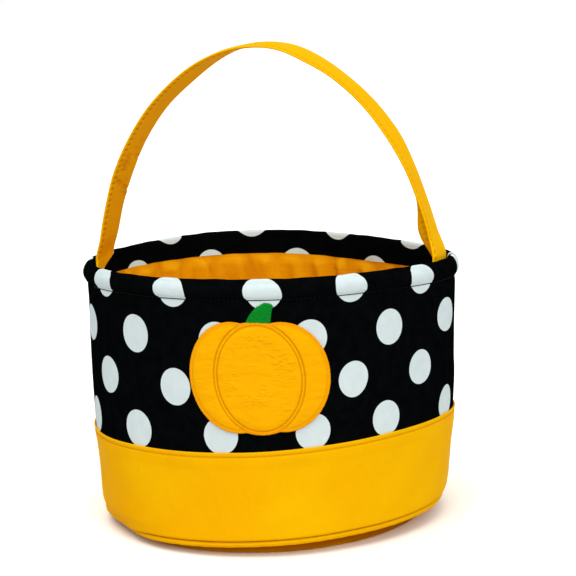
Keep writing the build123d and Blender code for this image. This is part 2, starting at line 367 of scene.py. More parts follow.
# Stiffening in the base: a foam round with a thin board over it, both cut flat.
# They lie loose between the base panel and the lining, and neither shows.
STIFFENING_RADIUS, STIFFENING_STEPS = 104.3, 180
FOAM_HEIGHTS, BOARD_HEIGHTS = (1.0, 4.0), (4.1, 5.7)
FOAM_SHADE, FOAM_PALE = (0.62, 0.6, 0.52), (0.84, 0.83, 0.78)
BOARD_SHADE, BOARD_PALE = (0.3, 0.22, 0.14), (0.46, 0.36, 0.25)


def foam():
    finish = Finish("foam", Roughness=0.95, Specular_IOR_Level=0.1)
    cells = finish.node("TexVoronoi", {"Vector": finish.place(), "Scale": 900}).outputs["Distance"]
    return finish.grained(finish.ramp(cells, 0.1, 0.7), FOAM_SHADE, FOAM_PALE, cells, 0.0004)


def board():
    finish = Finish("board", Roughness=0.8, Specular_IOR_Level=0.2)
    pulp = finish.noise(finish.stretched(finish.place(), 1, 1, 6), 180, 6)
    return finish.grained(pulp, BOARD_SHADE, BOARD_PALE, pulp, 0.0002)


def stiffening(name, heights, material):
    return turned(name, disc(STIFFENING_RADIUS, *heights), material, steps=STIFFENING_STEPS, loop=False)


foam_finish = foam()
base_foam = stiffening("base_foam_round", FOAM_HEIGHTS, foam_finish)
base_board = stiffening("base_board_round", BOARD_HEIGHTS, board())
for piece, node, slot in ((base_foam, "base_foam", "foam"), (base_board, "base_board", "board")):
    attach(piece, "pail")
    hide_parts(node)


# Piping: a bias strip of the band's cloth wrapped round a cord and sewn into the base seam.
# It stands proud all round as the pail's foot, with a fine crease where the band meets it, and painted shade
# on the roll's top in that crease.
PIPING_CENTRE = (110.0, 2.5)
PIPING_RADIUS, PIPING_STEPS = 2.25, 20
PIPING_RIPPLES = ((0.06, 46, 1.0, 0.0), (0.05, 81, 0.0, 0.0))
# Where painted shade lies on the piping: degrees round the roll from its outer side, and how wide.
PIPING_SHADE_TOP, PIPING_SHADE_WIDE = 88, 26
CORD_RADIUS, CORD_STEPS, CORD_STEPS_ROUND = 1.3, 12, 180
CORD_SHADE, CORD_PALE = (0.66, 0.63, 0.55), (0.85, 0.83, 0.77)


def arc(centre, radius, start, end, count):
    """Points along an arc of a profile, with angles in degrees."""
    turn = np.radians(np.linspace(start, end, count))
    return np.stack((centre[0] + radius * np.cos(turn), centre[1] + radius * np.sin(turn)), 1)


def piped(turn, along):
    return ripples(PIPING_RIPPLES, turn, along)


def cord():
    finish = Finish("cord", Roughness=0.85)
    inputs = {"Vector": finish.place(), "Scale": 300.0, "Distortion": 2.0}
    twist = finish.node("TexWave", inputs).outputs["Fac"]
    return finish.grained(twist, CORD_SHADE, CORD_PALE, twist, 0.0003)


roll = arc(PIPING_CENTRE, PIPING_RADIUS, 0, 360, PIPING_STEPS + 1)[:-1]
piping = turned("piping_roll", roll, band_cloth, puff=piped)
up_roll = np.arange(PIPING_STEPS) * 360 / PIPING_STEPS
# Painted shade on the top of the roll, under the band's overhang.
mark(piping, "painted_shade", np.repeat(near(PIPING_SHADE_TOP, PIPING_SHADE_WIDE, up_roll), STEPS_ROUND))
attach(piping, "pail")
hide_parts("piping_cover")
strand = arc(PIPING_CENTRE, CORD_RADIUS, 0, 360, CORD_STEPS + 1)[:-1]
core = turned("piping_core", strand, cord(), steps=CORD_STEPS_ROUND)
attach(core, "pail")
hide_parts("piping_cord")


# Band: a strip of coated cloth round the foot of the wall, hemmed double along its top edge.
# The hem is topstitched to the dotted panel, and the lower edge turns in at the base seam.
WALL_HEIGHTS, WALL_RADII = (4.8, 70, 78, 165), (112.6, 117.4, 118.35, 120.0)
BAND_EDGE, BAND_UNDER, BAND_OVER = 104.6, 4.8, 5.7
BAND_CORNER, BAND_CORNER_RADIUS = (111.15, 7.2), 2.4
BAND_FOOT, BAND_OUT, BAND_BEHIND = 8, 0.8, 0.1
HEM_STITCH = 66.7

# Up the hem, and how far it stands out of the panel: two layers thick, drawn in at the stitching.
HEM = (
    (57.5, BAND_OUT), (61, 1.15), (64.6, 1.3), (66, 1.15), (HEM_STITCH, 0.9), (67.4, 1.15), (68.8, 1.3),
)
HEM_FOLD, HEM_FOLD_RADIUS = (69.3, 0.7), 0.6
BAND_RIPPLES, BAND_FREE = ((0.25, 9, 0.05, 0.0), (0.2, 17, -0.11, 2.0)), (12, 24, 60, 68)
SUNK_DEEP, SUNK_ROUND, SUNK_UP = 2.4, (-2.2, -1.8, -0.98, -0.72), (7.4, 2.6)
FULL_OUT, FULL_ROUND, FULL_UP = 1.0, (1.5, 0.35), (8, 14, 60, 68)
# Painted shade in the band: how dark, where along the profile and how wide in its base seam, then how dark
# and how wide along the hem's stitch row.
BASE_SEAM_SHADE, BASE_SEAM_SHADE_AT, BASE_SEAM_SHADE_WIDE = 0.9, 7.2, 0.9
HEM_ROW_SHADE, HEM_ROW_SHADE_WIDE = 0.45, 0.6

# Dents from packing: how deep, where round the pail, slant, width, how far up and height.
BAND_DENTS = ((0.9, -1.23, 0.0, 0.05, 40, 12), (0.7, -1.08, -0.004, 0.04, 30, 14))


def panel_radius(height):
    """Outer face of the dotted panel, drawn in a little where the band is sewn round it."""
    return np.interp(height, WALL_HEIGHTS, WALL_RADII)


def on_wall(*places):
    """Points at heights up the wall, each with its distance out of the panel's face."""
    return [(panel_radius(height) + out, height) for height, out in places]


def band_swell(turn, along):
    """Unevenness of the band between its seams, sunk over its foot at the left and fuller at the right."""
    dents = sum(
        deep * near(place + slant * along, wide, turn) * near(up, tall, along)
        for deep, place, slant, wide, up, tall in BAND_DENTS
    )
    body = mound(*BAND_FREE, along) * (ripples(BAND_RIPPLES, turn, along) - dents)
    sunk = SUNK_DEEP * mound(*SUNK_ROUND, turn) * near(*SUNK_UP, along)
    full = FULL_OUT * near(*FULL_ROUND, turn) * mound(*FULL_UP, along)
    return body + sunk + full


outer = joined(
    line((BAND_EDGE, BAND_UNDER), (111.2, BAND_UNDER)), arc(BAND_CORNER, BAND_CORNER_RADIUS, -90, 0, 8),
    line(*on_wall((BAND_FOOT, BAND_OUT), HEM[0]), step=2.5), line(*on_wall(*HEM), step=0.8),
    arc(*on_wall(HEM_FOLD), HEM_FOLD_RADIUS, 0, 180, 9),
)
inner = line(
    *on_wall((68.6, BAND_BEHIND), (7, BAND_BEHIND)), (109, BAND_OVER), (BAND_EDGE, BAND_OVER), step=4
)
band_path = joined(outer, inner)
band = turned("amber_band", band_path, band_cloth, puff=band_swell)
# Painted shade where the band turns into the base seam and along the hem's stitch row.
shade_in_base_seam = BASE_SEAM_SHADE * near(BASE_SEAM_SHADE_AT, BASE_SEAM_SHADE_WIDE, lengths(band_path))
on_outside = np.arange(len(band_path)) < len(outer)
shade_in_hem_row = HEM_ROW_SHADE * near(HEM_STITCH, HEM_ROW_SHADE_WIDE, band_path[:, 1]) * on_outside
mark(band, "painted_shade", np.repeat(shade_in_base_seam + shade_in_hem_row, STEPS_ROUND))
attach(band, "pail")
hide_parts("lower_band")


# Topstitching: rows of single thread stitches, each thin at both ends where the needle went in.
# One tree lays every row on the pail: along a seam for topstitch, across it for satin stitch.
STITCH_SIZES = ("Stitch length", "Pitch", "Thread width", "Thread height")
STITCH_SEED = 4
STITCH_UNEVEN = 0.08
HEM_STITCHES = (2.5, 3.3, 0.6, 0.45)
HEM_STITCH_OUT = 0.98
AMBER_THREAD, AMBER_THREAD_SHADE = (0.86, 0.36, 0.004), (0.62, 0.22, 0.002)


def thread(name, colour, shade, roughness):
    finish = Finish(name, Roughness=roughness, Specular_IOR_Level=0.05)
    twist = finish.noise(finish.place(), 1400, 2)
    return finish.grained(finish.ramp(twist, 0.3, 0.7), shade, colour, twist, 0.0001)


def stitch_tree():
    """Geometry nodes that lay stitches on an edge path, which says how each lies and what way is out."""
    tree = bpy.data.node_groups.new("stitch_row", "GeometryNodeTree")
    tree.interface.new_socket("Path", in_out="INPUT", socket_type="NodeSocketGeometry")
    for name, size in zip(STITCH_SIZES, HEM_STITCHES):
        socket = tree.interface.new_socket(name, in_out="INPUT", socket_type="NodeSocketFloat")
        socket.default_value = size * MM
    tree.interface.new_socket("Thread", in_out="INPUT", socket_type="NodeSocketMaterial")
    seed = tree.interface.new_socket("Seed", in_out="INPUT", socket_type="NodeSocketInt")
    seed.default_value = STITCH_SEED
    tree.interface.new_socket("Stitches", in_out="OUTPUT", socket_type="NodeSocketGeometry")

    add = Nodes(tree).add
    given = add("NodeGroupInput").outputs
    curve = add("GeometryNodeMeshToCurve", {0: given["Path"]}).outputs[0]
    spaced = add("GeometryNodeResampleCurve", {0: curve, "Length": given["Pitch"]}, mode="LENGTH").outputs[0]
    lay, out = (
        add("GeometryNodeInputNamedAttribute", {"Name": name}, data_type="FLOAT_VECTOR").outputs[0]
        for name in ("lay", "out")
    )
    lengthwise = add("FunctionNodeAlignRotationToVector", {"Vector": lay}, axis="X").outputs[0]
    turned_up = {"Rotation": lengthwise, "Vector": out}
    upright = add("FunctionNodeAlignRotationToVector", turned_up, axis="Z", pivot_axis="X").outputs[0]
    around_one = {2: 1 - STITCH_UNEVEN, 3: 1 + STITCH_UNEVEN, "Seed": given["Seed"]}
    uneven = add("FunctionNodeRandomValue", around_one, data_type="FLOAT").outputs[1]
    long = add("ShaderNodeMath", {0: uneven, 1: given["Stitch length"]}, operation="MULTIPLY").outputs[0]
    sizes = {0: long, 1: given["Thread width"], 2: given["Thread height"]}
    size = add("ShaderNodeCombineXYZ", sizes).outputs[0]
    bead = add("GeometryNodeMeshUVSphere", {"Segments": 8, "Rings": 6, "Radius": 0.5}).outputs[0]
    rounded = add("GeometryNodeSetShadeSmooth", {0: bead}).outputs[0]
    laid = add(
        "GeometryNodeInstanceOnPoints",
        {"Points": spaced, "Instance": rounded, "Rotation": upright, "Scale": size},
    ).outputs[0]
    real = add("GeometryNodeRealizeInstances", {0: laid}).outputs[0]
    dyed = add("GeometryNodeSetMaterial", {"Geometry": real, "Material": given["Thread"]}).outputs[0]
    add("NodeGroupOutput", {0: dyed})
    return tree


stitch_nodes = stitch_tree()


def stitched(name, rows, material, sizes):
    """Stitches along rows, each of points, how they lie, their way out and whether the row closes."""
    edges, first = [], 0
    for path, lay, out, closed in rows:
        count = len(path)
        edges += [(first + i, first + (i + 1) % count) for i in range(count if closed else count - 1)]
        first += count
    paths, lays, outs = (np.concatenate([row[k] for row in rows]) for k in range(3))
    mesh = bpy.data.meshes.new(name + "_path")
    mesh.from_pydata((paths * MM).tolist(), edges, [])
    for attribute, values in (("lay", lays), ("out", outs)):
        field = mesh.attributes.new(attribute, "FLOAT_VECTOR", "POINT")
        field.data.foreach_set("vector", values.astype(np.float32).ravel())
    piece = bpy.data.objects.new(name, mesh)
    bpy.context.scene.collection.objects.link(piece)
    laid = piece.modifiers.new("stitches", "NODES")
    laid.node_group = stitch_nodes
    wanted = {"Thread": material, "Seed": STITCH_SEED}
    wanted.update((size_name, size * MM) for size_name, size in zip(STITCH_SIZES, sizes))
    for socket in stitch_nodes.interface.items_tree:
        if socket.in_out == "INPUT" and socket.name in wanted:
            laid[socket.identifier] = wanted[socket.name]
    ready = piece.evaluated_get(bpy.context.evaluated_depsgraph_get())
    made = bpy.data.meshes.new_from_object(ready)
    piece.modifiers.remove(laid)
    piece.data = made
    bpy.data.meshes.remove(mesh)
    return piece


def round_row(radius, height, steps=720):
    """A closed row of stitches round the pail, lying along it."""
    angles = np.linspace(-math.pi, math.pi, steps, endpoint=False)
    path = slumped(angles, radius, height)
    lay = np.roll(path, -1, 0) - np.roll(path, 1, 0)
    return path, lay, slumped(angles, radius + 1, height) - path, True


amber_thread = thread("amber_thread", AMBER_THREAD, AMBER_THREAD_SHADE, 0.5)
hem_row = round_row(panel_radius(HEM_STITCH) + HEM_STITCH_OUT, HEM_STITCH)
hem_stitches = stitched("band_topstitch", [hem_row], amber_thread, HEM_STITCHES)
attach(hem_stitches, "pail")


# Dotted panel: black coated cloth printed with white dots, a front and a back piece with a seam at each side.
# It rolls out over the padded rim, is stitched through, and turns down inside as the facing.
PANEL_THICKNESS = 0.8
PANEL_LOW, RIM_SEAM, ROLL_TOP, PANEL_END = 60.0, 165.0, 178.4, 194.6
RIM_TUCK = ((163.4, 0), (164.4, -0.2), (164.9, -0.55), (165.2, -0.5))
BULGE_CENTRE, BULGE_RADIUS = (114.05, 171.0), 8.45
CROWN_CENTRE, CROWN_RADIUS = (117.88, 175.32), 2.68
BULGE_FROM, CROWN_FROM = -42, 48.5
FACING_RADIUS, FACING_TOP, FACING_END = 115.2, 175.3, 161.5
ROLL_RIPPLES, ROLL_FREE = ((0.12, 23, 0.0, 1.0), (0.09, 41, 0.2, 0.0), (0.2, 5, 0.0, 2.0)), (166, 172)
WALL_RIPPLES, WALL_FREE = ((0.25, 10, 0.04, 0.5), (0.2, 16, -0.06, 0.0)), (72, 90, 150, 164)
FRONT_FLAT, FRONT_ROUND, FRONT_UP = 1.2, (0.1, 0.8), (165, 168, 172, 178)
# Scales the distance from the rim's stitch row, so its line of painted shade is narrower than the dark at the
# side seams.
RIM_ROW_SHADE_SHARE = 1.6
SIDE_SEAMS = (math.radians(-93), math.radians(91))
RIM_STITCH_RADIUS, RIM_STITCHES = 119.5, (2.2, 2.9, 0.45, 0.35)

# The print, in metres on the flat cloth: two nets of dots, set half a step apart.
DOT_RADIUS, DOT_EDGE, DOT_RAGGED = 0.01175, 0.00015, 0.0003
DOT_PITCH = (0.0613, 0.0607)
DOT_NETS = ((0.0323, 0.1404), (0.0019, 0.1100))
TURNED_IN = (0.1795, 0.1815)
SEAM_OPEN = 0.0011
NIGHT, NIGHT_PALE, SEAM_AND_ROW_SHADE_BLACK = (0.0013, 0.0017, 0.0019), (0.0024, 0.0029, 0.0032), (0.001, 0.001, 0.001)
# The dots inside the rim get a brighter, bluer white: painted light that makes up for the dim orange light
# inside the pail.
CHALK, CHALK_LOW, CHALK_PAINTED_LIGHT_INSIDE = (0.695, 0.8, 0.81), (0.655, 0.755, 0.765), (0.71, 0.98, 1.0)
BLACK_THREAD, BLACK_THREAD_SHADE = (0.012, 0.013, 0.014), (0.003, 0.003, 0.003)

# How the cloth lies on the wall: roped along the roll and full over it, and the back piece cut by itself.
ROPING, ROPED_TO, ROLL_FULLNESS = 0.2, 178.0, 0.24
BACK_MIDDLE, BACK_RADIUS, BACK_EASE = math.radians(2), 109.2, 6.0
BACK_ASIDE, BACK_DROP = 16.0, 1.4

# Places where the cloth was pulled as it was sewn: degrees from the front, up, then how far sideways and up.
PULL_REACH = 22.0
PULLED = (
    (-58, 169, -5.0, 2.0), (1, 170, 2.3, 0.0), (29, 168, -2.1, 1.2), (-29, 169, 1.3, 1.0),
    (74, 141, 1.6, 0.0), (-45, 141, -3.6, 0.0), (-15, 142, 0.9, -0.9), (16, 143, -0.7, -1.0),
    (-60, 112, -4.2, 1.2), (59, 110, 0.0, -1.2), (88, 110, 8.0, 0.0),
    (76, 79, 6.8, -2.4), (-45, 82, -4.3, 1.2), (17, 79, 1.7, 0.0), (42, 81, -4.3, 0.6), (-14, 79, 2.0, 0.9),
)


def dotted_cloth():
    finish = Finish("dotted_cloth", Specular_IOR_Level=0.0)
    flat, across, along = finish.cloth()
    nearest = 1.0
    for starts in DOT_NETS:
        from_middle = [
            finish.math("WRAP", finish.minus(value, start), pitch / 2, -pitch / 2)
            for value, start, pitch in zip((across, along), starts, DOT_PITCH)
        ]
        nearest = finish.math("MINIMUM", nearest, finish.hypot(*from_middle))
    ragged = finish.times(finish.minus(finish.noise(flat, 900, 2), 0.5), DOT_RAGGED)
    dot = finish.ramp(finish.plus(nearest, ragged), DOT_RADIUS - DOT_EDGE, DOT_RADIUS + DOT_EDGE, 1, 0)
    ink = finish.ramp(finish.noise(flat, 130, 4), 0.3, 0.7)
    black = finish.blend(ink, NIGHT, NIGHT_PALE)
    white = finish.blend(ink, CHALK_LOW, CHALK)
    # Painted light: brighter dots where the cloth has turned in at the rim.
    white = finish.blend(finish.ramp(along, *TURNED_IN), white, CHALK_PAINTED_LIGHT_INSIDE)
    # Black at the side seams, where the cloth meets, and painted shade in the groove of the rim's stitch row.
    seam_and_shaded_row = finish.ramp(finish.own("to_seam_or_shaded_row"), 0.0, SEAM_OPEN)
    finish.set(
        Base_Color=finish.blend(seam_and_shaded_row, SEAM_AND_ROW_SHADE_BLACK, finish.blend(dot, black, white)),
        Roughness=finish.ramp(finish.noise(flat, 300, 3), 0.3, 0.7, 0.56, 0.68),
    )
    finish.bumps(
        (finish.weave(across, along, 0.0010), 0.00002),
        (finish.noise(flat, 500, 4, 0.6), 0.00012),
        (finish.noise(finish.stretched(flat, 1.0, 0.5, 1), 30, 3), 0.0018),
        (seam_and_shaded_row, 0.0012),
    )
    return finish.material


def panel_swell(turn, along):
    """Slight waves in the roll between stitches, a flatter roll at the front, and soft dents in the wall."""
    wave = smooth(*ROLL_FREE, along) * ripples(ROLL_RIPPLES, turn, along)
    flat_front = FRONT_FLAT * smooth(*FRONT_ROUND, np.cos(turn)) * mound(*FRONT_UP, along)
    return wave - flat_front + mound(*WALL_FREE, along) * ripples(WALL_RIPPLES, turn, along)


def panel_cut(turn, along):
    """Where a place on the panel lies on the printed cloth: dots don't follow on at the side seams."""
    middle = turn.mean(1, keepdims=True)
    behind = (middle < SIDE_SEAMS[0]) | (middle > SIDE_SEAMS[1])
    from_back = np.where(middle > 0, turn - math.pi, turn + math.pi) - BACK_MIDDLE
    eased = BACK_EASE * np.clip(from_back, -1.1, 1.1) ** 3
    across = np.where(behind, from_back * BACK_RADIUS - eased - BACK_ASIDE, turn * WALL_RADIUS)
    across = across + ROPING * (np.clip(along, RIM_SEAM, ROPED_TO) - RIM_SEAM)
    up_roll = np.clip(along, RIM_SEAM, ROLL_TOP) - RIM_SEAM
    down = along + np.where(behind, -BACK_DROP, ROLL_FULLNESS * up_roll)
    for place, up, sideways, upward in PULLED:
        aside = (turn - math.radians(place)) * WALL_RADIUS
        pull = np.exp(-(aside**2 + (along - up) ** 2) / PULL_REACH**2)
        across, down = across - sideways * pull, down - upward * pull
    return across, down


wall = line(*on_wall((PANEL_LOW, 0), (70, 0), *RIM_TUCK), step=2.5)
bulge = arc(BULGE_CENTRE, BULGE_RADIUS, BULGE_FROM, CROWN_FROM, 17)
crown = arc(CROWN_CENTRE, CROWN_RADIUS, CROWN_FROM, 180, 14)
facing = line((FACING_RADIUS, FACING_TOP), (FACING_RADIUS, FACING_END), step=1.5)
outside = joined(wall, bulge, crown, facing)
inside = outside - PANEL_THICKNESS * facing_out(outside)
run = lengths(outside)
seam_at, top_at = run[len(wall) - 1], run[np.argmax(outside[:, 1])]
cloth_run = np.interp(run, (0, seam_at, top_at, run[-1]), (PANEL_LOW, RIM_SEAM, ROLL_TOP, PANEL_END))
cloth_run = np.concatenate((cloth_run, cloth_run[::-1]))
panel = turned(
    "dotted_panel", np.concatenate((outside, inside[::-1])), dotted_cloth(),
    along=cloth_run, puff=panel_swell, cut=panel_cut,
)
# Distance to the side seams and to the rim's stitch row, read by the panel's cloth for the dark seams and the
# row's painted shade.
columns = np.linspace(-math.pi, math.pi, STEPS_ROUND, endpoint=False)
to_side = np.abs(columns[:, None] - SIDE_SEAMS).min(1) * WALL_RADIUS * MM
rim_row_shade = RIM_ROW_SHADE_SHARE * np.abs(cloth_run - RIM_SEAM) * MM
mark(panel, "to_seam_or_shaded_row", np.minimum(to_side[None], rim_row_shade[:, None]))
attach(panel, "pail")
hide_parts("upper_panel")
black_thread = thread("black_thread", BLACK_THREAD, BLACK_THREAD_SHADE, 0.4)
rim_row = round_row(RIM_STITCH_RADIUS, RIM_SEAM)
rim_stitches = stitched("rim_topstitch", [rim_row], black_thread, RIM_STITCHES)
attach(rim_stitches, "pail")


# Rim filling and wall filling: foam folded over a flat plastic boning in the roll, and a foam sheet
# in the wall. They keep the mouth open and the wall upright, and are closed in by the panel and the lining.
FILLING_STEPS = 240
BONING_IN, BONING_OUT, BONING_LOW, BONING_HIGH = 117.3, 118.3, 166.6, 173.0
BONING_SHADE, BONING_PALE = (0.7, 0.72, 0.72), (0.86, 0.87, 0.86)
SLOT_IN, SLOT_OUT, SLOT_LOW, SLOT_HIGH = 117.2, 118.4, 166.4, 173.2
PADDING_BULGE, PADDING_CROWN = 7.2, 1.4
PADDING_INSIDE, PADDING_TOP, PADDING_FOOT = 116.5, 175, 165.4
WALL_FOAM_LOW, WALL_FOAM_TOP = 6.2, 163
BEHIND_BAND, BEHIND_PANEL, WALL_FOAM_BACK = -0.4, -1.3, -3.4


def boning():
    finish = Finish("boning", Roughness=0.35)
    haze = finish.noise(finish.place(), 120, 3)
    return finish.grained(haze, BONING_SHADE, BONING_PALE, haze, 0.0001)


def filling(name, profile, material):
    return turned(name, profile, material, steps=FILLING_STEPS)


padding = joined(
    arc(BULGE_CENTRE, PADDING_BULGE, -40, CROWN_FROM, 9),
    arc(CROWN_CENTRE, PADDING_CROWN, CROWN_FROM, 180, 7),
    line((PADDING_INSIDE, PADDING_TOP), (PADDING_INSIDE, PADDING_FOOT)),
    line((SLOT_IN, PADDING_FOOT), (SLOT_IN, SLOT_HIGH), (SLOT_OUT, SLOT_HIGH), (SLOT_OUT, SLOT_LOW), step=4),
)
strip = line(
    (BONING_OUT, BONING_LOW), (BONING_OUT, BONING_HIGH),
    (BONING_IN, BONING_HIGH), (BONING_IN, BONING_LOW), step=4,
)
wall_front = (
    (WALL_FOAM_LOW, BEHIND_BAND), (59, BEHIND_BAND), (60, BEHIND_PANEL), (WALL_FOAM_TOP, BEHIND_PANEL),
)
wall_back = [(height, WALL_FOAM_BACK) for height in (WALL_FOAM_TOP, 78, 70, WALL_FOAM_LOW)]
wall_sheet = joined(line(*on_wall(*wall_front), step=6), line(*on_wall(*wall_back), step=6))
rim_fill = filling("rim_fill", padding, foam_finish)
bone = filling("rim_boning_hoop", strip, boning())
wall_fill = filling("wall_fill", wall_sheet, foam_finish)
for piece, node, slot in (
    (rim_fill, "rim_padding", "foam"), (bone, "rim_boning", "boning"), (wall_fill, "wall_foam", "foam"),
):
    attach(piece, "pail")
    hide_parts(node)


# Lining: plain amber cloth sewn to the facing's lower edge and to a round at the bottom.
# It is cut a little full, so it hangs in soft upright folds below the seam.
LINING_TOP, LINING_LOW = 161.6, 6.9
LINING_FACE, LINING_BACK = -4.6, -4.1
LINING_ROUND, LINING_ROUND_HEIGHTS = 108.3, (5.85, 6.4)
FOLD_DEEP, FOLD_COUNT = 5.0, 31
CROSS_FOLD_DEEP, CROSS_FOLD_COUNT = 1.3, 53
LINING_FREE = (0.0, 6, 138, 152)
LINING_AMBER, LINING_DEEP, LINING_FOLD_SHADE = (0.91, 0.42, 0.0015), (0.87, 0.365, 0.001), (0.66, 0.2, 0.0006)


def lining_cloth():
    """Thin slubby cloth, with slanting streaks of painted shade that stand for the shadows of its folds."""
    finish = Finish("lining_cloth", Specular_IOR_Level=0.03)
    flat, across, along = finish.cloth()
    slub = finish.noise(finish.stretched(flat, 0.25, 3, 1), 210, 4)
    plain = finish.blend(finish.ramp(slub, 0.3, 0.7), LINING_DEEP, LINING_AMBER)
    slanted = {0: finish.plus(across, finish.times(along, 0.35)), 1: finish.times(along, 0.22)}
    fold_shade_streak = finish.noise(finish.node("CombineXYZ", slanted).outputs[0], 42, 2)
    finish.set(
        # Painted shade: slanting darker streaks for the shade in the folds.
        Base_Color=finish.blend(finish.ramp(fold_shade_streak, 0.52, 0.68, 0, 0.75), plain, LINING_FOLD_SHADE),
        Roughness=finish.ramp(slub, 0.3, 0.7, 0.5, 0.66),
    )
    finish.bumps(
        (finish.weave(across, along, 0.0012), 0.00004),
        (finish.noise(finish.stretched(flat, 1.0, 0.25, 1), 60, 3), 0.0012),
    )
    return finish.material


def lining_folds(turn, along):
    """Folds into the pail from the seam down, in deep and shallow groups, with finer ones across them."""
    depth = along - 1.0
    fold = 0.5 + 0.5 * np.sin(FOLD_COUNT * turn + 1.7 * np.sin(4 * turn + 0.6) + 0.07 * depth)
    cross = 0.5 + 0.5 * np.sin(CROSS_FOLD_COUNT * turn - 0.05 * depth + 2.2 * np.sin(3 * turn))
    groups = 1.2 * np.sin(5 * turn + 0.4) * np.sin(7.3 * np.sin(turn / 2) + 1.0) + 0.5
    deep = FOLD_DEEP * (0.35 + 0.65 * np.clip(groups, 0, 1))
    return mound(*LINING_FREE, depth) * (deep * fold**2 + CROSS_FOLD_DEEP * cross**3)


lining = lining_cloth()
inner_face = line(*on_wall((LINING_TOP, -4.5), (70, LINING_FACE), (LINING_LOW, LINING_FACE)), step=2.0)
outer_face = line(*on_wall((LINING_LOW, LINING_BACK), (70, LINING_BACK), (LINING_TOP, LINING_BACK)), step=6)
lining_wall = turned(
    "lining_tube", np.concatenate((inner_face, outer_face)), lining,
    along=np.concatenate((lengths(inner_face), np.zeros(len(outer_face)))), puff=lining_folds,
)
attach(lining_wall, "pail")
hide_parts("lining_wall")
lining_base = turned("lining_round", disc(LINING_ROUND, *LINING_ROUND_HEIGHTS), lining, loop=False)
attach(lining_base, "pail")
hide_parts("lining_base")


# Handle: amber cloth sewn to a flat tube round a stiff tape, with one row of stitching along its front edge.
# Its ends are sewn flat to the facing. It is a little twisted, and bends just above the rim when it swings.
STRAP_HALF, STRAP_THICK, STRAP_STEP, STRAP_STEPS_ACROSS = 19.0, 1.3, 0.8, 31
STRAP_TURN = math.radians(5)
STRAP_ROW, STRAP_PITCH, STRAP_ROW_OUT = -15.6, 4.1, 0.78
GROOVE_DEEP, GROOVE_WIDE = 0.4, 0.9
LOOSE_OUT, LOOSE_UP, LOOSE_ACROSS = 6.2, (195, 15), (-15.2, -10.5, -6, 10)
STRAP_STITCHES = (2.9, STRAP_PITCH, 0.6, 0.4)
STRAP_AMBER, STRAP_DEEP, STRAP_SHADE_BROWN = (0.97, 0.52, 0.002), (0.94, 0.46, 0.001), (0.42, 0.12, 0.0)
TAPE_HALF, TAPE_THICK, TAPE_LOW = 16.5, 0.5, 173
TAPE_SHADE, TAPE_PALE, TAPE_RIB = (0.7, 0.68, 0.62), (0.84, 0.82, 0.77), 0.0012

# How the ends are sewn: their angles, the left one gathered at its front edge, and the facing's reach.
SEWN_AT = (math.radians(-95), math.radians(82))
SEWN_HEIGHTS, SEWN_REACH, SEWN_RADIUS = (170, 175, 179, 184), (113.3, 113.4, 114.4, 114.8), 113.5
GATHERED, GATHERED_TURN, GATHERED_HEIGHTS = 0.3, math.radians(5), (165, 180)
HELD_HEIGHTS = (168, 192)
CROWN_SLANT, CROWN_HEIGHTS = 0.028, (296, 316)

# The strap's middle from its left end to its right one: sideways, up, and degrees of twist.
STRAP_LINE = np.array([
    (-116.0, 162.0, 5.0), (-115.6, 172.0, 5.5), (-113.4, 182.0, 7.8), (-110.4, 196.0, 10.0),
    (-106.2, 214.0, 10.9), (-99.0, 236.0, 13.6), (-88.5, 258.0, 13.8), (-73.2, 280.0, 15.6),
    (-54.1, 298.0, 19.0), (-36.9, 310.2, 19.0), (-19.5, 317.7, 15.0), (-2.0, 320.1, 12.5),
    (15.6, 317.8, 14.5), (32.3, 310.2, 15.5), (50.8, 298.0, 12.5), (70.0, 280.0, 12.2),
    (86.3, 258.0, 12.5), (97.4, 236.0, 9.3), (105.4, 214.0, 8.5), (110.8, 196.0, 9.0),
    (114.0, 182.0, 11.0), (115.8, 172.0, 12.5), (116.0, 162.0, 13.0),
])

# Small folds across the left leg where the strap was bent in packing:
# how far along, depth, width, slant, place across and reach across.
STRAP_CREASES = (
    (88, 1.5, 1.1, -0.2, -5, 5), (85.6, -1.7, 1.0, -0.24, -7, 4), (90.5, 1.6, 1.2, -0.3, 12, 5),
    (81.4, 1.5, 1.3, -0.26, -5, 8), (78.6, -1.6, 1.1, -0.26, -8, 6), (74, -1.0, 3.0, -0.2, 4, 7),
    (69.0, -1.7, 1.1, -0.4, -9, 5), (66.6, 1.2, 1.2, -0.4, -8, 6), (67, 1.6, 1.2, -0.3, 10, 7),
    (64.6, -1.4, 1.1, -0.3, 9, 7), (101, 0.8, 1.6, -0.2, 6, 6), (97, -0.9, 1.6, -0.2, 3, 7),
)


def drawn_through(points, step):
    """A smooth line through points, with a point about every step along it."""
    led = np.concatenate((2 * points[:1] - points[1:2], points, 2 * points[-1:] - points[-2:-1]))
    runs = []
    for a, b, c, d in zip(led, led[1:], led[2:], led[3:]):
        count = max(2, round(np.linalg.norm((c - b)[:2]) / step))
        t = (np.arange(count) / count)[:, None]
        bent = (2 * a - 5 * b + 4 * c - d) * t**2 + (3 * b - a - 3 * c + d) * t**3
        runs.append(0.5 * (2 * b + (c - a) * t + bent))
    return np.concatenate((*runs, points[-1:]))


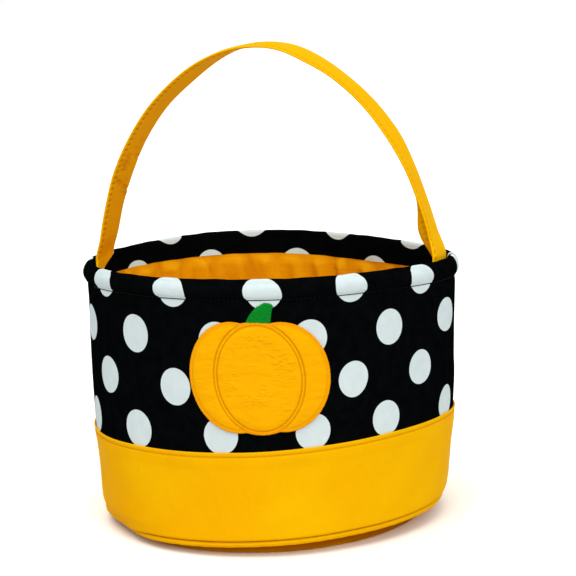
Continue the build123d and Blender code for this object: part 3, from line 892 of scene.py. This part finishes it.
def strap_faces(across):
    """Strap's middle layer and its outward direction at each place along it and across it."""
    sideways, up, twist = drawn_through(STRAP_LINE, STRAP_STEP).T
    twist, side = np.radians(twist), np.sign(sideways)
    centre = np.stack((sideways * math.cos(STRAP_TURN), -sideways * math.sin(STRAP_TURN), up + BASE_BULGE), 1)
    wide = np.stack((np.sin(twist), np.cos(twist), CROWN_SLANT * smooth(*CROWN_HEIGHTS, up)), 1)
    free = centre[:, None] + across[None, :, None] * wide[:, None]
    drawn_in = (side < 0) * (1 - smooth(*GATHERED_HEIGHTS, up))
    root = np.where(side > 0, SEWN_AT[1], SEWN_AT[0] + GATHERED_TURN * drawn_in)
    gathered = across[None] - GATHERED * drawn_in[:, None] * (across[None] + STRAP_HALF)
    turn = root[:, None] + side[:, None] * gathered / SEWN_RADIUS
    sewn = slumped(turn, np.interp(up, SEWN_HEIGHTS, SEWN_REACH)[:, None], up[:, None])
    held = 1 - smooth(*HELD_HEIGHTS, up)
    surface = free + held[:, None, None] * (sewn - free)
    normal = np.cross(np.gradient(surface, axis=0), np.gradient(surface, axis=1))
    normal /= np.linalg.norm(normal, axis=2, keepdims=True)
    along = lengths(centre)
    folds = sum(
        deep * near(at + slant * across[None], wide, along[:, None]) * near(place, reach, across[None])
        for at, deep, wide, slant, place, reach in STRAP_CREASES
    )
    return surface + folds[..., None] * normal, normal, folds, along, sideways, up


def strap_cloth():
    """Slubby amber cloth, drawn in at each needle hole, with painted shade at the holes, beside the stitches
    and on one side of its folds.
    """
    finish = Finish("strap_cloth", Specular_IOR_Level=0.002)
    flat, across, along = finish.cloth()
    slub = finish.noise(finish.stretched(flat, 3, 0.5, 1), 190, 3)
    patchy = finish.weighted((slub, 0.6), (finish.noise(flat, 40, 2), 0.4))
    body = finish.blend(finish.ramp(patchy, 0.3, 0.7), STRAP_DEEP, STRAP_AMBER)
    from_row = finish.math("ABSOLUTE", finish.minus(across, STRAP_ROW * MM))
    beat = finish.math("COSINE", finish.times(along, 2 * math.pi / (STRAP_PITCH * MM)))
    hole = finish.times(finish.ramp(from_row, 0.0004, 0.0013, 1, 0), finish.ramp(beat, 0.4, 0.9))
    pucker = finish.times(finish.ramp(from_row, 0.0008, 0.0042, 0.5, 0), finish.ramp(beat, 0.3, 0.95))
    pucker = finish.times(pucker, finish.ramp(finish.noise(flat, 160, 2), 0.35, 0.6, 0.2, 1))
    # Painted shade at each needle hole and beside the stitches, as strong as the piece marks it, and on one
    # side of each fold.
    needle_shade = finish.times(finish.larger(hole, pucker), finish.own("needle_shade_strength"))
    finish.set(
        Base_Color=finish.blend(finish.larger(needle_shade, finish.own("fold")), body, STRAP_SHADE_BROWN),
        Roughness=finish.ramp(slub, 0.3, 0.7, 0.5, 0.62),
    )
    pull = finish.times(finish.ramp(from_row, 0.0, 0.0035, 1, 0), beat)
    finish.bumps(
        (finish.weave(across, along, 0.0011), 0.000008),
        (finish.noise(flat, 300, 2, 0.5), 0.00005),
        (pull, -0.0003),
    )
    return finish.material


def tape():
    finish = Finish("tape", Roughness=0.8)
    rib = finish.math("SINE", finish.times(finish.cloth()[2], 2 * math.pi / TAPE_RIB))
    return finish.grained(finish.ramp(rib, -1, 1), TAPE_SHADE, TAPE_PALE, rib, 0.0001)


def strap_tube(name, half, thick, material, loose=False, low=0):
    """A flat tube along the strap, above a height. A loose one stands off inside its bend at the right."""
    across = half * np.sin(np.linspace(-math.pi / 2, math.pi / 2, STRAP_STEPS_ACROSS))
    surface, normal, folds, along, sideways, up = strap_faces(across)
    rounded = (1 - np.abs(across / half) ** 7) ** 0.5
    groove = 1 - GROOVE_DEEP * near(STRAP_ROW, GROOVE_WIDE, across)
    swell = (thick * rounded * groove)[:, None] * normal
    outside, inside = surface + swell, surface - swell
    if loose:
        bend = near(*LOOSE_UP, up) * (sideways > 0)
        inside = inside - LOOSE_OUT * (bend[:, None] * mound(*LOOSE_ACROSS, across))[..., None] * normal
    kept, back = up > low, slice(-2, 0, -1)
    along, points = along[kept], np.concatenate((outside, inside[:, back]), 1)[kept]
    rows, count = points.shape[:2]
    faces, row, left = net(rows, count)
    places = np.concatenate((across, across[back], across[:1]))
    u = np.stack((places[left], places[left], places[left + 1], places[left + 1]), 1)
    v = np.stack((along[row], along[row + 1], along[row + 1], along[row]), 1)
    numbers = list(range(rows * count))
    ends = [numbers[:count], numbers[-count:][::-1]]
    cloth_map = np.concatenate((
        np.stack((u, v), -1).reshape(-1, 2),
        np.stack((places[:-1], np.zeros(count)), 1), np.stack((places[-2::-1], np.full(count, along[-1])), 1),
    ))
    piece = sewn_mesh(name, points, faces[:, (0, 3, 2, 1)].tolist() + ends, cloth_map, material, sharp=60)
    if loose:
        # Painted shade for the loose tube: on one side of each fold, where it rises along the strap, weaker
        # on the outer face, and needle-hole shade weaker there too.
        shade = np.clip(0.5 * np.gradient(folds, along, axis=0), 0, 0.6)
        mark(piece, "fold", np.concatenate((0.4 * shade, shade[:, back]), 1))
        mark(piece, "needle_shade_strength", np.concatenate((np.full_like(shade, 0.35), np.ones_like(shade[:, back])), 1))
    return piece


def strap_rows():
    """Stitch rows on both faces of the strap, along its front edge."""
    surface, normal, *_ = strap_faces(np.array((STRAP_ROW - 0.5, STRAP_ROW, STRAP_ROW + 0.5)))
    path, out = surface[:, 1], normal[:, 1]
    lay = np.gradient(path, axis=0)
    return [(path + STRAP_ROW_OUT * face, lay, face, False) for face in (out, -out)]


strap = strap_tube("handle_strap_tube", STRAP_HALF, STRAP_THICK, strap_cloth(), loose=True)
tape_core = strap_tube("handle_tape", TAPE_HALF, TAPE_THICK, tape(), low=TAPE_LOW)
strap_stitches = stitched("handle_stitching", strap_rows(), amber_thread, STRAP_STITCHES)
for piece in (strap, tape_core, strap_stitches):
    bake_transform(piece)
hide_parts("handle_strap", "strap_end_left", "strap_end_right")
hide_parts("handle_core")


# Pumpkin: an applique of felted amber cloth over thin wadding, sewn to the front of the panel.
# Satin stitch runs round its side lobes and round the middle lobe, and pulls the felt down beside it.
PATCH_MIDDLE = 116.5
SIDE_LOBE, MIDDLE_BODY, OVAL = (29.3, 33.9), (35.0, 34.7), (28.0, 34.5)
BORDER = ((-15.5, 116.8, *SIDE_LOBE), (0.0, 116.3, *MIDDLE_BODY), (15.5, 116.8, *SIDE_LOBE))
MIDDLE_LOBE = (0.0, 116.2, *OVAL)
LOBE_SIZE = 31.0
PATCH_FLOOR, PATCH_EDGE, PATCH_PUFF, PATCH_RINGS = 0.15, 0.5, 1.7, 90
PUFF_FROM_EDGE, PRESSED, PRESSED_WIDE = 2.6, 0.5, 1.9
FELT_AMBER, FELT_DEEP, FELT_GROOVE_SHADE = (0.97, 0.455, 0.001), (0.93, 0.4, 0.0008), (0.8, 0.29, 0.0004)
SATIN_STITCHES, SATIN_STEPS = (2.3, 0.42, 0.6, 0.8), 400
SATIN_OVAL_UP, SATIN_BORDER_UP = 1.0, 0.75
SATIN_AMBER, SATIN_SHADE = (0.96, 0.42, 0.001), (0.91, 0.355, 0.001)


def askew(x, z):
    """Where a point of the cut applique was sewn down, a little out of square."""
    return 0.98 * x - 0.75 - 0.05 * (z - PATCH_MIDDLE), z - 0.022 * x


def on_front(x, z, lift):
    """A point of the flat applique laid on the front of the wall."""
    radius = panel_radius(z)
    turn = np.arcsin(x / radius)
    return slumped(turn, radius + panel_swell(turn, z) + lift, z)


def lobe_reach(turn, lobe):
    """How far a ray from the pumpkin's middle goes to a lobe's edge."""
    start = np.array((-lobe[0], PATCH_MIDDLE - lobe[1])) / lobe[2:]
    ray = np.stack((np.cos(turn), np.sin(turn)), -1) / lobe[2:]
    square, cross, rest = (ray**2).sum(-1), (ray * start).sum(-1), (start**2).sum() - 1
    return (-cross + np.sqrt(cross**2 - square * rest)) / square


def felt():
    """Felted cloth with a nap of fine tufts, pressed down beside the satin stitch and darkened there with
    painted shade.
    """
    finish = Finish("pumpkin_cloth", Roughness=0.85, Specular_IOR_Level=0.02)
    flat, across, along = finish.cloth()

    def outside_of(lobe):
        """Distance out from a lobe's edge, near enough."""
        x, z = (
            finish.math("DIVIDE", finish.minus(value, middle * MM), half * MM)
            for value, middle, half in zip((across, along), lobe[:2], lobe[2:])
        )
        return finish.times(finish.minus(finish.hypot(x, z), 1.0), LOBE_SIZE * MM)

    fibre = finish.noise(finish.stretched(flat, 0.35, 2.2, 1), 420, 4, 0.6)
    tuft = finish.noise(finish.stretched(flat, 0.5, 1.8, 1), 110, 3)
    shade = finish.weighted((fibre, 0.45), (tuft, 0.55))
    body = finish.blend(finish.ramp(shade, 0.3, 0.62), FELT_DEEP, FELT_AMBER)
    out_of_oval = outside_of(MIDDLE_LOBE)
    from_oval = finish.math("ABSOLUTE", finish.minus(finish.math("ABSOLUTE", out_of_oval), 0.0011))
    left, middle, right = (outside_of(lobe) for lobe in BORDER)
    from_border = finish.math("MINIMUM", finish.math("MINIMUM", left, right), middle)
    in_border = finish.math("ABSOLUTE", finish.plus(from_border, 0.0014))
    beside_border = finish.times(finish.ramp(in_border, 0.0, 0.0009, 1, 0), 0.45)
    drawn = finish.larger(finish.ramp(from_oval, 0.0, 0.0007, 1, 0), beside_border)
    # Painted shade in the groove beside the satin stitch.
    finish.set(Base_Color=finish.blend(drawn, body, FELT_GROOVE_SHADE))
    patches = finish.ramp(finish.noise(flat, 45, 2), 0.4, 0.62, 0.1, 1)
    patches = finish.times(patches, finish.ramp(out_of_oval, -0.009, -0.002, 1, 0.3))
    crumple = finish.noise(finish.stretched(flat, 0.8, 1.3, 1), 260, 2, 0.6)
    crumple = finish.times(finish.ramp(crumple, 0.35, 0.65), patches)
    finish.bumps((fibre, 0.0003), (tuft, 0.0005), (crumple, 0.00045), (drawn, -0.0004))
    return finish.material


turn = np.linspace(0, 2 * math.pi, STEPS_ROUND, endpoint=False)
border = np.stack([lobe_reach(turn, lobe) for lobe in BORDER]).max(0)
border_x, border_z = border * np.cos(turn), PATCH_MIDDLE + border * np.sin(turn)
share = np.concatenate(([0.0], np.linspace(0.02, 1, PATCH_RINGS)))[:, None]
flat_x, flat_z = share * border_x, PATCH_MIDDLE + share * (border_z - PATCH_MIDDLE)
to_border = (1 - share) * border * 0.92
to_oval = (np.hypot((flat_x - MIDDLE_LOBE[0]) / OVAL[0], (flat_z - MIDDLE_LOBE[1]) / OVAL[1]) - 1) * LOBE_SIZE
puff = PATCH_PUFF * (1 - np.exp(-to_border / PUFF_FROM_EDGE)) * (1 - PRESSED * near(0, PRESSED_WIDE, to_oval))
top = on_front(*askew(flat_x, flat_z), PATCH_FLOOR + PATCH_EDGE + puff)
foot = on_front(*askew(border_x, border_z), PATCH_FLOOR)
under = on_front(*askew(np.zeros(1), np.full(1, PATCH_MIDDLE)), PATCH_FLOOR)
points = np.concatenate((top[1:].reshape(-1, 3), foot, top[0, :1], under))
faces = net(PATCH_RINGS + 1, STEPS_ROUND)[0][:, (0, 3, 2, 1)].tolist()
foot_from, middle_top, middle_under = PATCH_RINGS * STEPS_ROUND, len(points) - 2, len(points) - 1
after = [(i + 1) % STEPS_ROUND for i in range(STEPS_ROUND)]
faces += [(middle_top, i, after[i]) for i in range(STEPS_ROUND)]
faces += [(middle_under, foot_from + after[i], foot_from + i) for i in range(STEPS_ROUND)]
flat_points = np.concatenate((
    np.stack((flat_x[1:], flat_z[1:]), -1).reshape(-1, 2), np.stack((border_x, border_z), -1),
    ((0, PATCH_MIDDLE), (0, PATCH_MIDDLE)),
))
cloth_map = np.concatenate([flat_points[list(face)] for face in faces])
patch = sewn_mesh("pumpkin_felt", points, faces, cloth_map, felt(), sharp=80)
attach(patch, "pail")
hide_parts("pumpkin_patch")


def satin_row(x, z, lift):
    """A closed row of satin stitch round the flat applique, its threads lying across the row."""
    x, z = askew(x, z)
    path = on_front(x, z, lift)
    out = on_front(x, z, lift + 1) - path
    return path, np.cross(np.roll(path, -1, 0) - np.roll(path, 1, 0), out), out, True


satin = thread("satin_thread", SATIN_AMBER, SATIN_SHADE, 0.6)
oval = np.linspace(0, 2 * math.pi, SATIN_STEPS, endpoint=False)
oval_x, oval_z = MIDDLE_LOBE[0] + OVAL[0] * np.cos(oval), MIDDLE_LOBE[1] + OVAL[1] * np.sin(oval)
satin_rows = [satin_row(oval_x, oval_z, SATIN_OVAL_UP), satin_row(border_x, border_z, SATIN_BORDER_UP)]
outline = stitched("pumpkin_satin", satin_rows, satin, SATIN_STITCHES)
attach(outline, "pail")
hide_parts("pumpkin_outline")


# Stem: a leaning shape filled with rows of green thread, sewn on above the pumpkin.
# Its rows of stitches follow the lean, over a low padded underlay of the same thread.
STEM_LEFT = ((-8.5, 151.0), (-4.4, 157.8), (1.6, 163.4))
STEM_RIGHT = ((7.2, 151.0), (7.8, 156.8), (8.9, 161.9))
STEM_FLOOR, STEM_EDGE, STEM_PUFF, STEM_TIP_ROUND = 0.1, 0.35, 0.85, 1.6
STEM_STEPS_UP, STEM_STEPS_OVER = 33, 21
STEM_ROWS, STEM_ROW_POINTS, STEM_THREAD_UP = 17, 60, 0.05
STEM_STITCHES = (2.5, 2.1, 0.75, 0.5)
STEM_GREEN, STEM_SHADE = (0.004, 0.31, 0.028), (0.002, 0.21, 0.016)


def swept(points, share):
    """A place along a bent edge given by its foot, middle and tip."""
    foot, middle, tip = (np.array(point) for point in points)
    share = np.asarray(share, float)[..., None]
    pull = 2 * middle - (foot + tip) / 2
    return (1 - share) ** 2 * foot + 2 * share * (1 - share) * pull + share**2 * tip


def on_stem(up, over):
    """A place on the flat stem, given by its shares up and over it, and how high the thread lies there."""
    left, right = swept(STEM_LEFT, up), swept(STEM_RIGHT, up)
    place = left * (1 - over[..., None]) + right * over[..., None]
    to_side = (2 * over - 1) ** 4
    rise = STEM_EDGE + STEM_PUFF * np.sqrt(np.clip(1 - to_side, 0, 1)) * np.sqrt(np.clip(1 - up**8, 0, 1))
    return place[..., 0], place[..., 1] - STEM_TIP_ROUND * up**6 * to_side, rise


def stem_row(k):
    """One row of stitches up the stem."""
    climb = np.linspace(0.08 + 0.03 * (k % 3), 0.985, STEM_ROW_POINTS)
    x, z, rise = on_stem(climb, np.full(STEM_ROW_POINTS, (k + 0.5) / STEM_ROWS))
    path = on_front(x, z, rise + STEM_THREAD_UP)
    return path, np.gradient(path, axis=0), on_front(x, z, rise + STEM_THREAD_UP + 1) - path, False


up, over = np.meshgrid(np.linspace(0, 1, STEM_STEPS_UP), np.linspace(0, 1, STEM_STEPS_OVER), indexing="ij")
stem_x, stem_z, rise = on_stem(up, over)
points = np.stack((on_front(stem_x, stem_z, rise), on_front(stem_x, stem_z, STEM_FLOOR)))
faces, row, left = net(STEM_STEPS_UP, STEM_STEPS_OVER)
cells = faces[left < STEM_STEPS_OVER - 1]
numbers = np.arange(up.size).reshape(up.shape)
edge = np.concatenate((numbers[0], numbers[1:, -1], numbers[-1, -2::-1], numbers[-2:0:-1, 0]))
before = np.roll(edge, 1)
sides = np.stack((edge, before, before + up.size, edge + up.size), 1)
stem_faces = np.concatenate((cells, cells[:, ::-1] + up.size, sides)).tolist()
green_thread = thread("green_thread", STEM_GREEN, STEM_SHADE, 0.6)
stem = sewn_mesh("pumpkin_stem_underlay", points, stem_faces, None, green_thread)
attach(stem, "pail")
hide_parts("pumpkin_stem")
stem_rows = [stem_row(k) for k in range(STEM_ROWS)]
stem_stitches = stitched("pumpkin_stem_stitches", stem_rows, green_thread, STEM_STITCHES)
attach(stem_stitches, "pail")


# Studio: a white sweep of floor, a pale surround, a broad soft lamp overhead and a weaker one in front.
# The camera stands where the photograph was taken from, a little right of the pail's front and above its rim.
FLOOR_HALF, FLOOR_DROP = 30.0, -0.0004
FLOOR_BOUNCE, FLOOR_BOUNCE_PALE = (0.69, 0.69, 0.69), (0.73, 0.73, 0.73)
FLOOR_WHITE, FLOOR_WHITE_PALE = (1.27, 1.26, 1.21), (1.31, 1.3, 1.25)
SURROUND_LOW, SURROUND_HIGH, SURROUND_UP = 0.46, 0.72, 0.7
SURROUND_TINT, TINT_FROM, TINT_TO = (1.0, 0.93, 0.85), 0.1, 0.6
LAMPS = (("overhead_lamp", 1.2, 45, (-0.1, -0.4, 1.0)), ("front_lamp", 0.84, 30, (0.4, -1.0, 0.5)))
CAMERA_AT = (0.0907, -1.2968, 0.3667)
CAMERA_TURN = math.radians(4)
CAMERA_PAN, CAMERA_PITCH, CAMERA_ROLL = 0.0094, 0.15946, -0.02998
SENSOR_WIDTH = 36
CAMERA_LENS = 1922.77 / 576 * SENSOR_WIDTH


def in_view(nodes):
    """1 for what the camera sees, straight or mirrored, and 0 for the light that falls on the pail."""
    path = nodes.node("LightPath").outputs
    mirrored = nodes.larger(path["Is Glossy Ray"], path["Is Transmission Ray"])
    return nodes.larger(path["Is Camera Ray"], mirrored)


paper = Finish("floor_paper", Roughness=0.9, Specular_IOR_Level=0.0)
grain = paper.noise(paper.place(), 40, 3)
bounce = paper.blend(grain, FLOOR_BOUNCE, FLOOR_BOUNCE_PALE)
paper.set(Base_Color=paper.blend(in_view(paper), bounce, paper.blend(grain, FLOOR_WHITE, FLOOR_WHITE_PALE)))
mesh = bpy.data.meshes.new("floor")
corners = [(x * FLOOR_HALF, y * FLOOR_HALF, FLOOR_DROP) for x, y in ((-1, -1), (1, -1), (1, 1), (-1, 1))]
mesh.from_pydata(corners, [], [(0, 1, 2, 3)])
mesh.materials.append(paper.material)
floor = bpy.data.objects.new("floor", mesh)
bpy.context.scene.collection.objects.link(floor)

world = bpy.data.worlds.new("studio")
bpy.context.scene.world = world
world.use_nodes = True
sky = Nodes(world.node_tree)
rising = sky.node("SeparateXYZ", {0: sky.node("TexCoord").outputs["Generated"]}).outputs[2]
lit = sky.node("MapRange", {0: rising, 1: 0.0, 2: SURROUND_UP, 3: SURROUND_LOW, 4: SURROUND_HIGH}).outputs[0]
high = sky.node("MapRange", {0: rising, 1: TINT_FROM, 2: TINT_TO, 3: 0.0, 4: 1.0}).outputs[0]
seen = in_view(sky)
backdrop = world.node_tree.nodes["Background"].inputs
sky.put(backdrop["Color"], sky.blend(sky.larger(high, seen), SURROUND_TINT, (1, 1, 1)))
sky.put(backdrop["Strength"], sky.node("Mix", {0: seen, 2: lit, 3: 1.0}).outputs[0])

for name, strength, spread, source in LAMPS:
    lamp = bpy.data.lights.new(name, "SUN")
    lamp.energy, lamp.angle = strength, math.radians(spread)
    stand = bpy.data.objects.new(name, lamp)
    stand.rotation_euler = (-Vector(source)).to_track_quat("-Z", "Y").to_euler()
    bpy.context.scene.collection.objects.link(stand)

lens = bpy.data.cameras.new("camera")
lens.sensor_width, lens.lens = SENSOR_WIDTH, CAMERA_LENS
lens.clip_start, lens.clip_end = 0.05, 100
camera = bpy.data.objects.new("camera", lens)
ahead = Vector((
    math.sin(CAMERA_PAN) * math.cos(CAMERA_PITCH),
    math.cos(CAMERA_PAN) * math.cos(CAMERA_PITCH),
    -math.sin(CAMERA_PITCH),
))
level_right = Vector((math.cos(CAMERA_PAN), -math.sin(CAMERA_PAN), 0))
level_up = level_right.cross(ahead)
right = math.cos(CAMERA_ROLL) * level_right + math.sin(CAMERA_ROLL) * level_up
upward = -math.sin(CAMERA_ROLL) * level_right + math.cos(CAMERA_ROLL) * level_up
facing_way = Matrix((right, upward, -ahead)).transposed()
facing_way = Matrix.Rotation(CAMERA_TURN, 3, "Z") @ facing_way
camera.matrix_world = Matrix.Translation(CAMERA_AT) @ facing_way.to_4x4()
bpy.context.scene.collection.objects.link(camera)
bpy.context.scene.camera = camera
bpy.context.scene.view_settings.view_transform = "Standard"
